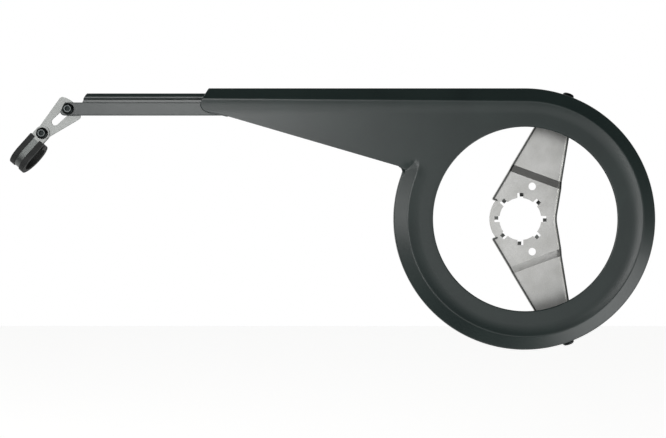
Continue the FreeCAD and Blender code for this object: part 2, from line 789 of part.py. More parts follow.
def clip_path(start, ear=True):
    """The band's middle line: straight off the front ear, round the loop and, with ear, back again."""
    middle = "band_sheet / 2"
    loop = "(clip_bore_radius + rubber_inside + band_sheet / 2)"
    centre = "(%s + %s)" % (middle, loop)
    back = "(1.5 * band_sheet + link_sheet)"
    both = "(%s + ear_bend_radius)" % loop
    rise = "(%s - %s - ear_bend_radius)" % (centre, back)
    run = "sqrt(%s^2 - %s^2)" % (both, rise)
    path = [
        (start, middle),
        ("loop_reach", middle, loop),
        ("loop_reach + " + loop, centre, loop),
        ("loop_reach", "%s + %s" % (centre, loop), loop),
        ("loop_reach - " + loop, centre, loop),
        ("loop_reach - %s * %s / %s" % (run, loop, both), "%s - %s * %s / %s" % (centre, rise, loop, both)),
    ]
    if ear:
        path[-1] += ("-ear_bend_radius",)
        path += [("loop_reach - " + run, back), ("-ear_radius", back)]
    return path


def sweep(body, path, section, start):
    """Sweeps a section, drawn in Y and Z at the path's start, along a path drawn in X and Y."""
    route = new_sketch(body, "XY_Plane")
    draw_path(route, path)
    profile = new_sketch(body, "YZ_Plane", start)
    draw_outline(profile, section)
    pipe = body.newObject("PartDesign::AdditivePipe", body.Name + "_pipe")
    pipe.Profile = profile
    pipe.Spine = route
    DOC.recompute()


def clip_band():
    body = new_body("clip_band")
    half = "clip_width / 2"
    section = [("0", "-" + half), ("band_sheet", "-" + half), ("band_sheet", half), ("0", half)]
    sweep(body, clip_path("-ear_radius"), section, "-ear_radius")
    ends = new_sketch(body, "XZ_Plane")
    draw_outline(ends, [
        ("-2 * ear_radius", "-2 * ear_radius"),
        ("0", "-2 * ear_radius"),
        ("0", "-ear_radius", "-ear_radius"),
        ("-ear_radius", "0", "-ear_radius"),
        ("0", "ear_radius"),
        ("0", "2 * ear_radius"),
        ("-2 * ear_radius", "2 * ear_radius"),
    ])
    add_feature(body, "Pocket", ends, "3 * band_sheet + link_sheet")
    hole = new_sketch(body, "XZ_Plane")
    draw_circle(hole, "0", "0", "screw_radius + screw_clearance")
    add_feature(body, "Pocket", hole, "3 * band_sheet + link_sheet")
    place_clip(body)


def clip_rubber():
    """The liner: a channel whose lips fold over the band's edges."""
    body = new_body("clip_rubber")
    inner, outer = "band_sheet + rubber_inside", "-rubber_outside"
    metal, edge, lip = "(clip_width / 2)", "(clip_width / 2 + rubber_edge)", "(rubber_window / 2)"
    side = [(inner, edge), (outer, edge), (outer, lip), ("0", lip), ("0", metal), ("band_sheet", metal)]
    other = [(y, "-" + z) for y, z in reversed(side)]
    sweep(body, clip_path("rubber_start", ear=False), side + other, "rubber_start")
    place_clip(body)


def clip_fasteners():
    length = "2 * band_sheet + link_sheet + washer_height + nut_height + thread_end"
    back = "-stay_back_out + link_sheet + band_sheet"
    socket_screw("clip_screw", "screw_radius", "head_radius", "head_height", length,
                 (CLIP_X, "-stay_back_out - band_sheet", CLIP_Z), facing_out())
    washer("clip_washer", (CLIP_X, back + " + washer_height", CLIP_Z), facing_out())
    nut("clip_nut", (CLIP_X, back + " + washer_height + nut_height", CLIP_Z), facing_out())


def write_nodes():
    """Writes each sub-part, after every object of the document has proved sound."""
    DOC.recompute()
    for item in DOC.Objects:
        if {"Invalid", "Error"} & set(item.State):
            raise RuntimeError("%s failed: %s" % (item.Name, item.State))
    os.makedirs("parts", exist_ok=True)
    for node in NODES:
        shape = node.Shape
        if shape.isNull() or not shape.isValid() or len(shape.Solids) != 1:
            raise RuntimeError("%s is not one sound solid" % node.Label)
        shape.exportStep("parts/%s.step" % node.Label)
        box = shape.BoundBox
        print("%-22s %9.1f mm3  X %7.1f %7.1f  Y %6.1f %6.1f  Z %6.1f %6.1f" % (
            node.Label, shape.Volume, box.XMin, box.XMax, box.YMin, box.YMax, box.ZMin, box.ZMax))


guard_shell()
frame_bracket()
rim_fasteners()
rear_stay()
stay_fasteners()
slotted_link()
clip_band()
clip_rubber()
clip_fasteners()
write_nodes()
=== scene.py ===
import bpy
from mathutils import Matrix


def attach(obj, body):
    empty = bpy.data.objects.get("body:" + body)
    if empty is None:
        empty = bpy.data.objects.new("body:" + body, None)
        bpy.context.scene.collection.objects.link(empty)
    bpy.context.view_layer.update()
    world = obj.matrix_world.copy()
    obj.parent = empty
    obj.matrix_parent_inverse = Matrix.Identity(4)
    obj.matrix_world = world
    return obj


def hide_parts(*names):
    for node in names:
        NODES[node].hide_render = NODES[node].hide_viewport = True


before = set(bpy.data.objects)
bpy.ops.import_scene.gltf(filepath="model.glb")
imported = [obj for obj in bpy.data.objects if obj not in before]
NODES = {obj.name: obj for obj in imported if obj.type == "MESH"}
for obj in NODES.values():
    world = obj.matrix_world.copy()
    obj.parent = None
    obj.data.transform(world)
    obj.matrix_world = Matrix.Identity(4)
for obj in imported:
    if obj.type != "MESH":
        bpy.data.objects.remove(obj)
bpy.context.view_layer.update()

import math

import bmesh
import bpy
from mathutils import Matrix, Vector

bpy.ops.object.select_all(action="DESELECT")

# Camera
# The photograph looks straight at the guard's outside from the chain side, from a little under a
# metre away, level with the bottom bracket and about in line with the middle of the part.
MM = 0.001
SENSOR, FOCAL_PIXELS, PHOTO_PIXELS = 36.0, 1114.6, 666.0
camera_data = bpy.data.cameras.new("view")
camera_data.sensor_width = SENSOR
camera_data.lens = SENSOR * FOCAL_PIXELS / PHOTO_PIXELS
camera_data.clip_end = 20.0
camera = bpy.data.objects.new("view", camera_data)
camera.location = (-155.4 * MM, -925.5 * MM, 0.0)
camera.rotation_euler = (math.radians(90), 0.0, 0.0)
bpy.context.scene.collection.objects.link(camera)
bpy.context.scene.camera = camera


# Moulded shell
# The ring and its tail are one injection moulding in slate ABS, 2 mm thick. The ring's band slopes
# back to a deep rim, a hollow ramp leads from the flat face up to the ridge, and the tail carries
# ridge and rim on over the chain. The band ends in a scoop where the tail leaves the ring.
def colour(code):
    """An sRGB hex value as linear red, green, blue and alpha."""
    parts = [int(code[place:place + 2], 16) / 255 for place in (0, 2, 4)]
    return [part / 12.92 if part <= 0.04045 else ((part + 0.055) / 1.055) ** 2.4
            for part in parts] + [1.0]


def add_node(tree, kind, settings=None, values=None, links=None):
    """A node with its settings (stops fill a colour ramp), fixed inputs and linked inputs."""
    node = tree.nodes.new("ShaderNode" + kind)
    for name, value in (settings or {}).items():
        if name == "stops":
            while len(node.color_ramp.elements) < len(value):
                node.color_ramp.elements.new(0.5)
            for element, (position, tone) in zip(node.color_ramp.elements, value):
                element.position, element.color = position, tone
        else:
            setattr(node, name, value)
    for name, value in (values or {}).items():
        node.inputs[name].default_value = value
    for name, source in (links or {}).items():
        tree.links.new(source, node.inputs[name])
    return node


def new_material(name):
    """An empty material and its node tree."""
    material = bpy.data.materials.new(name)
    material.use_nodes = True
    material.node_tree.nodes.clear()
    return material, material.node_tree


def clear_choice():
    """Leaves edit mode and deselects every object."""
    if bpy.context.object and bpy.context.object.mode == "EDIT":
        bpy.ops.object.mode_set(mode="OBJECT")
    bpy.ops.object.select_all(action="DESELECT")


def edit_mesh(piece):
    """The piece alone in edit mode, as a bmesh with nothing selected."""
    clear_choice()
    piece.select_set(True)
    bpy.context.view_layer.objects.active = piece
    bpy.ops.object.mode_set(mode="EDIT")
    bpy.ops.mesh.select_mode(type="VERT")
    bpy.ops.mesh.select_all(action="DESELECT")
    return bmesh.from_edit_mesh(piece.data)


def pick(piece, test, kind="verts"):
    """Selects, in edit mode, just the vertices, edges or faces that a test on them accepts."""
    bpy.ops.mesh.select_mode(type={"verts": "VERT", "edges": "EDGE", "faces": "FACE"}[kind])
    bpy.ops.mesh.select_all(action="DESELECT")
    mesh = bmesh.from_edit_mesh(piece.data)
    for item in getattr(mesh, kind):
        if test(item):
            item.select_set(True)
    mesh.select_flush_mode()
    bmesh.update_edit_mesh(piece.data)


def chain(name, points):
    """An open line of vertices through points in mm, made from a ring with one vertex taken out."""
    clear_choice()
    bpy.ops.mesh.primitive_circle_add(vertices=len(points) + 1, radius=0.05, fill_type="NOTHING")
    piece = bpy.context.object
    piece.name = piece.data.name = name
    mesh = edit_mesh(piece)
    mesh.verts.ensure_lookup_table()
    mesh.verts[len(points)].select_set(True)
    bmesh.update_edit_mesh(piece.data)
    bpy.ops.mesh.delete(type="VERT")
    mesh = bmesh.from_edit_mesh(piece.data)
    mesh.verts.ensure_lookup_table()
    for vertex, point in zip(mesh.verts, points):
        vertex.co = Vector(point) * MM
    bmesh.update_edit_mesh(piece.data)
    return piece


def round_edges(piece, width, angle, test=lambda edge: True, segments=3, clamp=False):
    """Rounds the edges that fold by more than an angle and pass a test on them."""
    pick(piece, lambda edge: len(edge.link_faces) == 2 and test(edge)
         and edge.calc_face_angle(0.0) > math.radians(angle), "edges")
    bpy.ops.mesh.bevel(offset=width * MM, segments=segments, profile=0.5, clamp_overlap=clamp,
                       affect="EDGES")


def finish_piece(piece, body, material=None, smooth=35):
    """Leaves edit mode, shades the piece and hands it to its body, with a finish where given."""
    clear_choice()
    piece.select_set(True)
    bpy.context.view_layer.objects.active = piece
    bpy.ops.object.shade_smooth_by_angle(angle=math.radians(smooth))
    even = piece.modifiers.new("even", "WEIGHTED_NORMAL")
    even.keep_sharp = True
    bpy.ops.object.modifier_apply(modifier=even.name)
    if material:
        piece.data.materials.append(material)
    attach(piece, body)
    piece.select_set(False)


def join(piece, others):
    """One object of several."""
    clear_choice()
    for item in [piece] + others:
        item.select_set(True)
    bpy.context.view_layer.objects.active = piece
    bpy.ops.object.join()


def moulded_plastic(name, tones, grain_mm, roughness):
    """Slate ABS as moulded: a fine spark grain, faint flow clouding and edges rubbed smooth."""
    material, tree = new_material(name)
    place = add_node(tree, "TexCoord").outputs["Object"]
    clouds = add_node(tree, "TexNoise", values={"Scale": 22.0, "Detail": 3.0, "Roughness": 0.5},
                      links={"Vector": place})
    grain = add_node(tree, "TexNoise", links={"Vector": place},
                     values={"Scale": 1000.0 / grain_mm, "Detail": 4.0, "Roughness": 0.6})
    pits = add_node(tree, "TexVoronoi", values={"Scale": 700.0 / grain_mm}, links={"Vector": place})
    tint = add_node(tree, "ValToRGB", {"stops": [(0.3, colour(tones[0])), (0.7, colour(tones[1]))]},
                    links={"Fac": clouds.outputs["Fac"]})
    fleck = add_node(tree, "ValToRGB", links={"Fac": grain.outputs["Fac"]},
                     settings={"stops": [(0.3, (0.35,) * 3 + (1,)), (0.7, (0.65,) * 3 + (1,))]})
    speckle = add_node(tree, "Mix", {"data_type": "RGBA", "blend_type": "OVERLAY"},
                       {"Factor": 0.16}, {6: tint.outputs["Color"], 7: fleck.outputs["Color"]})
    edges = add_node(tree, "NewGeometry").outputs["Pointiness"]
    worn = add_node(tree, "ValToRGB", {"stops": [(0.51, (0, 0, 0, 1)), (0.58, (1, 1, 1, 1))]},
                    links={"Fac": edges})
    gloss = add_node(tree, "MapRange", links={"Value": grain.outputs["Fac"]},
                     values={"From Min": 0.3, "From Max": 0.7, "To Min": roughness - 0.04,
                             "To Max": roughness + 0.05})
    handled = add_node(tree, "Mix", {"data_type": "FLOAT"}, {"B": roughness - 0.05},
                       {"A": gloss.outputs["Result"], "Factor": worn.outputs["Color"]})
    relief = add_node(tree, "Bump", values={"Strength": 0.35, "Distance": 0.00006},
                      links={"Height": grain.outputs["Fac"]})
    deeper = add_node(tree, "Bump", values={"Strength": 0.25, "Distance": 0.00004},
                      links={"Height": pits.outputs["Distance"],
                             "Normal": relief.outputs["Normal"]})
    shader = add_node(tree, "BsdfPrincipled", values={"IOR": 1.53, "Metallic": 0.0},
                      links={"Base Color": speckle.outputs[2],
                             "Roughness": handled.outputs["Result"],
                             "Normal": deeper.outputs["Normal"]})
    add_node(tree, "OutputMaterial", links={"Surface": shader.outputs["BSDF"]})
    return material


# a dark, even face with broad soft highlights; its grain of about 0.3 mm is drawn at 0.8 mm to show
SLATE = moulded_plastic("slate_abs", ("1C2625", "232E2C"), 0.8, 0.34)

# lengths are in mm; angles are in degrees and go from the ring's top (90) on past its left (180)
WALL, WALL_LIMIT, LIP, DRAFT, ROUNDING, CORNER = 2.0, 1.6, 3.5, 0.035, 0.9, 0.9
FACE_Y, RIDGE_Y, RIM_Y, GAP_Y, BACK_Y = -25.5, -27.5, -21.5, -19.5, -1.0
OPENING, RAMP, RIDGE, RIM = 74.5, 85.0, 95.0, 106.2
# the ring's top, where its flat meets the tail, where its rim starts, the section that is spun both
# ways, how far the scoop is felt, and the gap in the rim for the chain
TOP, BAND_TOP, RIM_START, SEAM, SCOOP_ZONE, CHAIN_GAP = 90.0, 145.5, 159.0, 160.5, 200, (213, 240)
ARM, TAB_DEPTH, TAB_OUT = 70, -11.5, 104.2
# the tail's end, and the fillet between its lower edge and the ring
TAIL_RIDGE, KNEE, TIP, TIP_ROUND, TIP_TOP = 97.0, (-240.5, 82.5), (-256.8, 92.7), 6.0, -261.2
ROOT, ROOT_ROUND, ROOT_REACH = (-103.32, 38.33), 4.0, 110.56
ROOT_START, ROOT_STOP, ROOT_TURN, ROOT_SWEEP = 157.5, 159.65, 73.74, 94.1
# the angle at which the band runs out, at each radius, and the screws that hold the stay
SCOOP = ((0, 152.2), (95, 152.2), (97, 151.2), (99, 151.0), (101, 151.0), (103, 152.0),
         (104.5, 153.8), (106.2, ROOT_START), (120, ROOT_START))
FIXINGS, FIXING_Z = {"front": -216.0, "rear": -245.0}, 89.4


def clipped(value):
    """A value kept from 0 to 1."""
    return min(max(value, 0.0), 1.0)


def eased(value):
    """A smooth step from 0 to 1."""
    value = clipped(value)
    return value * value * (3 - 2 * value)


def ring_y(radius, pride=1.0):
    """The shell's depth at a radius of the ring, its ridge as proud of the face as pride says."""
    rise = pride * (RIDGE_Y - FACE_Y)
    climb, fall = 2 * rise / (RIDGE - RAMP), (RIM_Y - FACE_Y - rise) / (RIM - RIDGE)
    past = radius - RIDGE
    if radius <= RAMP:
        return FACE_Y
    if past < -ROUNDING:
        return FACE_Y + rise * (1 + past / (RIDGE - RAMP)) ** 2
    if past > ROUNDING:
        return FACE_Y + rise + fall * past
    return FACE_Y + rise + climb * past + (fall - climb) * (past + ROUNDING) ** 2 / (4 * ROUNDING)


def scoop_y(radius, angle):
    """The shell's depth near the scoop, where the ridge sinks and the band runs into the face."""
    for (low, start), (high, end) in zip(SCOOP, SCOOP[1:]):
        if low <= radius <= high:
            edge = start + (end - start) * (radius - low) / (high - low)
    length = 7.0 - 2.4 * eased((radius - RIDGE) / 5)
    pride = 0.35 + 0.65 * eased((angle - 158) / 42)
    return FACE_Y + eased((angle - edge) / length) * (ring_y(radius, pride) - FACE_Y)


def tip_x(z):
    """The tail's end: a rounded tip under a slanted edge."""
    far, low = TIP[0] - TIP_ROUND, TIP[1] - TIP_ROUND
    if z >= TAIL_RIDGE:
        return TIP_TOP + 0.5 * (z - TAIL_RIDGE)
    if z >= TIP[1]:
        return far + (z - TIP[1]) * (TIP_TOP - far) / (TAIL_RIDGE - TIP[1])
    if z >= low:
        return TIP[0] - math.sqrt(TIP_ROUND ** 2 - (z - TIP[1]) ** 2)
    return TIP[0] + (low - z) * (KNEE[0] - TIP[0]) / (low - KNEE[1])


def polar(vertex):
    """A vertex's radius in mm and its angle in degrees, from 90 up to 450."""
    angle = math.degrees(math.atan2(vertex.co.z, vertex.co.x))
    return math.hypot(vertex.co.x, vertex.co.z) / MM, angle + 360 if angle < 89.9 else angle


rows = [OPENING, 78.0, 81.5] + [RAMP + step for step in range(10)]
rows += [94.4, 94.7, 95.0, 95.3, 95.6, 96.0, 97.0, 98.6, 100.0, 101.4, 102.8, 104.4, RIM]
start = math.radians(SEAM)
section = [(radius * math.cos(start), ring_y(radius), radius * math.sin(start)) for radius in rows]
section += [(RIM * math.cos(start), y, RIM * math.sin(start)) for y in (GAP_Y, -14.0, -7.5, BACK_Y)]
shell = chain("moulded_shell", section)
bpy.ops.mesh.select_all(action="SELECT")
bpy.ops.mesh.spin(steps=193, angle=math.radians(TOP + 360 - SEAM), center=(0, 0, 0), axis=(0, 1, 0))
pick(shell, lambda v: abs(polar(v)[1] - SEAM) < 0.1)
bpy.ops.mesh.spin(steps=30, angle=math.radians(SEAM - BAND_TOP), center=(0, 0, 0), axis=(0, -1, 0))
pick(shell, lambda v: abs(polar(v)[1] - BAND_TOP) < 0.1 and polar(v)[0] < RAMP + 0.1)
bpy.ops.mesh.spin(steps=37, angle=math.radians(BAND_TOP - TOP), center=(0, 0, 0), axis=(0, -1, 0))
bpy.ops.mesh.select_all(action="SELECT")
bpy.ops.mesh.remove_doubles(threshold=0.00001)

# the rim stops where the band ends and where the lower chain run leaves
def off_rim(face):
    """Whether a face of the rim lies behind the tail or in the chain gap."""
    turns = [polar(v)[1] for v in face.verts]
    depth = face.calc_center_median().y / MM
    behind = all(BAND_TOP - 0.5 < turn < RIM_START + 0.1 for turn in turns)
    in_gap = depth > GAP_Y and CHAIN_GAP[0] < sum(turns) / 4 < CHAIN_GAP[1]
    return depth > RIM_Y + 0.5 and (behind or in_gap)


pick(shell, off_rim, "faces")
bpy.ops.mesh.delete(type="FACE")

# the scoop at the band's end, and the fillet between the rim and the tail's lower edge
mesh = bmesh.from_edit_mesh(shell.data)
for vertex in mesh.verts:
    radius, angle = polar(vertex)
    if not BAND_TOP - 0.5 < angle < SCOOP_ZONE or radius < RAMP + 0.1:
        continue
    if vertex.co.y < (RIM_Y + 0.1) * MM:
        vertex.co.y = scoop_y(radius, angle) * MM
    if radius > RIM - 0.1 and angle < ROOT_STOP + 0.05:
        middle, reach, turn = (0, 0), ROOT_REACH, angle
        if angle > ROOT_START - 0.1:
            share = (angle - ROOT_START) / (ROOT_STOP - ROOT_START)
            middle, reach, turn = ROOT, ROOT_ROUND, ROOT_TURN - ROOT_SWEEP * share
        vertex.co.x = (middle[0] + reach * math.cos(math.radians(turn))) * MM
        vertex.co.z = (middle[1] + reach * math.sin(math.radians(turn))) * MM
bmesh.update_edit_mesh(shell.data)

# the tail's top is pulled out of the ring's section and its end takes the tip's outline
pick(shell, lambda v: abs(v.co.x) < 0.00001 and v.co.z > (RAMP - 0.1) * MM)
bpy.ops.mesh.extrude_region_move(TRANSFORM_OT_translate={"value": (-0.26, 0, 0)})
mesh = bmesh.from_edit_mesh(shell.data)
for vertex in mesh.verts:
    if vertex.select:
        z = vertex.co.z / MM
        if z < RIDGE:
            z = RAMP + (z - RAMP) * (TAIL_RIDGE - RAMP) / (RIDGE - RAMP)
        else:
            z = TAIL_RIDGE + (z - RIDGE) * (RIM - TAIL_RIDGE) / (RIM - RIDGE)
        vertex.co.x, vertex.co.z = tip_x(z) * MM, z * MM
bmesh.update_edit_mesh(shell.data)

# the flat tail between them
foot = Vector((tip_x(RAMP), FACE_Y, RAMP)) * MM
knee = Vector((KNEE[0], FACE_Y, KNEE[1])) * MM
pick(shell, lambda v: (v.co - foot).length < 0.00002)
bpy.ops.mesh.extrude_region_move(TRANSFORM_OT_translate={"value": knee - foot})
root = Vector((ROOT[0] + ROOT_ROUND * math.cos(math.radians(ROOT_TURN)), FACE_Y,
               ROOT[1] + ROOT_ROUND * math.sin(math.radians(ROOT_TURN)))) * MM
pick(shell, lambda v: min((v.co - knee).length, (v.co - root).length) < 0.00002)
bpy.ops.mesh.edge_face_add()


def borders_tail(edge):
    """The open edges round the flat tail: the ring's face and scoop, the foot, the lower edge."""
    flat = all(abs(v.co.y - FACE_Y * MM) < 0.00001 for v in edge.verts)
    hole = all(abs(polar(v)[0] - OPENING) < 0.1 for v in edge.verts)
    tip = any(v.co.z > (RAMP + 0.05) * MM for v in edge.verts)
    return len(edge.link_faces) < 2 and flat and not hole and not tip


pick(shell, borders_tail, "edges")
bpy.ops.mesh.edge_face_add()

# the return along the lower edge and the tip
def edges_tail(edge):
    """The open edges along the tail's lower edge, its fillet and its tip."""
    if len(edge.link_faces) != 1:
        return False
    spots = [polar(v) for v in edge.verts]
    along_tip = all(v.co.x < -0.2 and v.co.z < (TAIL_RIDGE + 0.05) * MM for v in edge.verts)
    below = all(radius > RIM - 1 and angle < RIM_START + 0.1 and v.co.y < RIM_Y * MM
                and v.co.z < (KNEE[1] + 0.1) * MM for (radius, angle), v in zip(spots, edge.verts))
    return along_tip or below


pick(shell, edges_tail, "edges")
bpy.ops.mesh.extrude_region_move(TRANSFORM_OT_translate={"value": (0, LIP * MM, 0)})
mesh = bmesh.from_edit_mesh(shell.data)
for vertex in mesh.verts:
    radius, angle = polar(vertex)
    if vertex.select and abs(angle - RIM_START) < 0.3 and radius < RIM + 0.5:
        vertex.co.y = GAP_Y * MM
bmesh.update_edit_mesh(shell.data)
bpy.ops.mesh.select_all(action="SELECT")
bpy.ops.mesh.remove_doubles(threshold=0.0001)
bpy.ops.mesh.normals_make_consistent(inside=False)
mesh = bmesh.from_edit_mesh(shell.data)
flat = max(mesh.faces, key=lambda face: face.calc_area())
if flat.normal.y > 0:
    bpy.ops.mesh.flip_normals()

# the mould's draft: the rim leans in a little towards its back
mesh = bmesh.from_edit_mesh(shell.data)
for vertex in mesh.verts:
    depth = vertex.co.y / MM - RIM_Y
    radius, angle = polar(vertex)
    if depth <= 0.1:
        continue
    if radius > RIM - 2.2 and (vertex.co.x > -0.0001 or angle > 158):
        vertex.co.x *= 1 - DRAFT * depth / RIM
        vertex.co.z *= 1 - DRAFT * depth / RIM
    elif vertex.co.z > (RIM - 2.2) * MM:
        vertex.co.z -= DRAFT * depth * MM
bmesh.update_edit_mesh(shell.data)
bpy.ops.object.mode_set(mode="OBJECT")

# the wall grows inwards, and in a tight corner no further than its limit, so that it makes no spike
wall = shell.modifiers.new("wall", "SOLIDIFY")
wall.thickness, wall.offset = WALL * MM, -1.0
wall.use_even_offset = wall.use_quality_normals = True
outside = len(shell.data.vertices)
bpy.ops.object.modifier_apply(modifier=wall.name)
for outer, inner in zip(shell.data.vertices[:outside], shell.data.vertices[outside:2 * outside]):
    gap = inner.co - outer.co
    if gap.length > WALL_LIMIT * WALL * MM:
        inner.co = outer.co + gap.normalized() * WALL_LIMIT * WALL * MM
edit_mesh(shell)


def outside_scoop(edge):
    """Whether an edge lies off the scoop and the fillet, which are soft already."""
    return not all(150 < polar(v)[1] < 160.2 and 84 < polar(v)[0] < 112
                   and v.co.y < (RIM_Y + 1) * MM for v in edge.verts)


round_edges(shell, CORNER, 35, outside_scoop)
bpy.ops.object.mode_set(mode="OBJECT")

# two bosses behind the tail take the stay's screws; a flat inside the rim meets each bracket tab
BOSS_Y, BOSS_HEIGHT, BOSS_BORE, BOSS_RADIUS = -24.5, 5.0, 1.75, 4
extras = []
for reach in FIXINGS.values():
    clear_choice()
    middle = Vector((reach, BOSS_Y, FIXING_Z)) * MM
    bpy.ops.mesh.primitive_circle_add(vertices=32, radius=BOSS_BORE * MM, fill_type="NOTHING",
                                      location=middle, rotation=(math.radians(90), 0, 0))
    boss = bpy.context.object
    bpy.ops.object.transform_apply(location=True, rotation=True, scale=True)
    edit_mesh(boss)
    bpy.ops.mesh.select_all(action="SELECT")
    for climb, grow in ((BOSS_HEIGHT, 1), (0, BOSS_RADIUS / BOSS_BORE), (-BOSS_HEIGHT, 1)):
        shift = Vector((0, climb * MM, 0))
        bpy.ops.mesh.extrude_region_move(TRANSFORM_OT_translate={"value": shift})
        middle = middle + shift
        bpy.ops.transform.resize(value=(grow, 1, grow), center_override=middle)
    bpy.ops.mesh.select_all(action="SELECT")
    bpy.ops.mesh.normals_make_consistent(inside=False)
    round_edges(boss, 0.25, 60, lambda edge: all(
        v.co.y > (BOSS_Y + BOSS_HEIGHT - 0.1) * MM for v in edge.verts), segments=2)
    extras.append(boss)
for side in (1, -1):
    clear_choice()
    bpy.ops.mesh.primitive_cube_add(size=1.0)
    flat = bpy.context.object
    turn = Matrix.Rotation(math.radians(90 - ARM * side), 4, "Y")
    flat.data.transform(turn @ Matrix.Translation(Vector((0, TAB_DEPTH, TAB_OUT)) * MM)
                        @ Matrix.Diagonal((21.6 * MM, 17.0 * MM, 2.0 * MM, 1)))
    edit_mesh(flat)
    round_edges(flat, 0.4, 60, segments=2)
    extras.append(flat)
join(shell, extras)
finish_piece(shell, "guard", SLATE, smooth=45)
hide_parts("guard_shell")


# Moulded stay
# A flat bar of the same slate ABS runs on behind the tail's tip. A fat bead stiffens its top, over
# a narrow groove, and its far end is rounded for the link's screw.
STAY_HOLE = (-370.8, 89.55)
STAY_FRONT, STAY_BACK, STAY_WALL = -19.5, -17.0, 2.5
STAY_START, STAY_END, STAY_FOOT, STAY_CORNER, WEB_TOP = -205.0, -377.2, 84.2, 3, 94.8
NECK_FOOT, NECK_TOP, NECK_WALL = 94.6, 97.3, 1.3
BEAD_FOOT, BEAD_TOP, BEAD_LENGTH, BEAD_END, BEAD_SLANT = 97.0, 102.2, 165.0, -355.3, (4.4, 0, 7.4)
# the bead's section: its middle, how far it stands out, and how far it falls and rises from there
BEAD_Y, BEAD_Z, BEAD_PRIDE, BEAD_FALL, BEAD_RISE = -18.6, 98.3, 2.9, 1.3, 3.9


def extruded(name, corners, offset):
    """A solid from a closed outline of corners in mm, extruded by an offset in mm."""
    piece = chain(name, corners)
    bpy.ops.mesh.select_all(action="SELECT")
    bpy.ops.mesh.edge_face_add()
    bpy.ops.mesh.extrude_region_move(TRANSFORM_OT_translate={"value": Vector(offset) * MM})
    bpy.ops.mesh.select_all(action="SELECT")
    bpy.ops.mesh.normals_make_consistent(inside=False)
    return piece


# its back stands 0.02 mm off the solid's, to share no plane with the link that slides on it
stay_y = STAY_BACK - 0.02
web_side = []
for step in range(7):
    turn = step * math.pi / 12
    web_side.append((STAY_END + STAY_CORNER - STAY_CORNER * math.sin(turn),
                     STAY_FOOT + STAY_CORNER - STAY_CORNER * math.cos(turn)))
web_side += [(STAY_END + 3.7, WEB_TOP), (STAY_START, WEB_TOP), (STAY_START, STAY_FOOT)]
web = extruded("moulded_stay", [(x, stay_y, z) for x, z in web_side], (0, -STAY_WALL, 0))
round_edges(web, 0.6, 40, lambda edge: all(v.co.y < (STAY_FRONT + 0.1) * MM for v in edge.verts))
neck_side = ((-359.6, NECK_FOOT), (-358.4, NECK_TOP), (STAY_START, NECK_TOP),
             (STAY_START, NECK_FOOT))
neck = extruded("groove", [(x, stay_y, z) for x, z in neck_side], (0, -NECK_WALL, 0))
bulge = [(stay_y, BEAD_TOP), (stay_y, BEAD_FOOT), (-19.2, BEAD_FOOT)]
for turn in (-70, -45, -20, 0, 15, 30, 45, 60, 75, 88):
    height = BEAD_RISE if turn > 0 else BEAD_FALL
    bulge.append((BEAD_Y - BEAD_PRIDE * math.cos(math.radians(turn)) ** 0.8,
                  BEAD_Z + height * math.sin(math.radians(turn))))
bead = extruded("bead", [(STAY_START, y, z) for y, z in bulge], (-BEAD_LENGTH, 0, 0))
slant = Vector(BEAD_SLANT).normalized()
bpy.ops.mesh.bisect(plane_co=Vector((BEAD_END, 0, BEAD_TOP)) * MM, plane_no=(-slant.z, 0, slant.x),
                    use_fill=True, clear_outer=True)
round_edges(bead, 0.35, 50, segments=2)
bpy.ops.object.mode_set(mode="OBJECT")
join(web, [neck, bead])
finish_piece(web, "guard", SLATE, smooth=40)
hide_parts("rear_stay")


# Steel bracket
# One stainless sheet, 1.5 mm thick, punched with the notched bore and folded: the arms are set
# back, their long edges turned up, and a tab at each end takes the rim's screw.
SHEET, FOLD, CUT_DEPTH, ARM_END, FOLD_END, TAB_Y = 1.5, 1.0, 2.0, 90, 92, -20
# the step from plate to arm: its height in the solids, what it loses here, and where along the arm
# the change sets in and the outer face steps, each with its run
STEP, STEP_LOSS, LOSS_START, LOSS_RUN, FACE_START, FACE_RUN = 4, 1.5, 35.5, 4, 34.5, 5.9
# the teeth round the bore, between a pair of radii and a pair of sides
TOOTH_TIP, TOOTH_ROOT, TOOTH_SIDES, TOOTH_LIFT = 18.7, 21.6, (-2.0, 0.2), 1.3


def rolled_steel(name, tones, roughness, grain_mm, stretch):
    """Sheet as it leaves the rolls: a short directional grain, dull, with small stains."""
    material, tree = new_material(name)
    place = add_node(tree, "TexCoord").outputs["Object"]
    drawn = add_node(tree, "Mapping", values={"Scale": stretch}, links={"Vector": place})
    grain = add_node(tree, "TexNoise", links={"Vector": drawn.outputs["Vector"]},
                     values={"Scale": 1000.0 / grain_mm, "Detail": 5.0, "Roughness": 0.65})
    clouds = add_node(tree, "TexNoise", values={"Scale": 60.0, "Detail": 4.0},
                      links={"Vector": place})
    tint = add_node(tree, "ValToRGB", {"stops": [(0.3, colour(tones[0])), (0.7, colour(tones[1]))]},
                    links={"Fac": grain.outputs["Fac"]})
    dull = add_node(tree, "ValToRGB", links={"Fac": clouds.outputs["Fac"]},
                    settings={"stops": [(0.35, colour("E2E2E0")), (0.65, colour("FFFFFF"))]})
    worn = add_node(tree, "Mix", {"data_type": "RGBA", "blend_type": "MULTIPLY"},
                    {"Factor": 0.6}, {6: tint.outputs["Color"], 7: dull.outputs["Color"]})
    gloss = add_node(tree, "MapRange", links={"Value": grain.outputs["Fac"]},
                     values={"From Min": 0.3, "From Max": 0.7, "To Min": roughness - 0.06,
                             "To Max": roughness + 0.08})
    relief = add_node(tree, "Bump", values={"Strength": 0.3, "Distance": 0.00003},
                      links={"Height": grain.outputs["Fac"]})
    shader = add_node(tree, "BsdfPrincipled", values={"Metallic": 1.0},
                      links={"Base Color": worn.outputs[2], "Roughness": gloss.outputs["Result"],
                             "Normal": relief.outputs["Normal"]})
    add_node(tree, "OutputMaterial", links={"Surface": shader.outputs["BSDF"]})
    return material


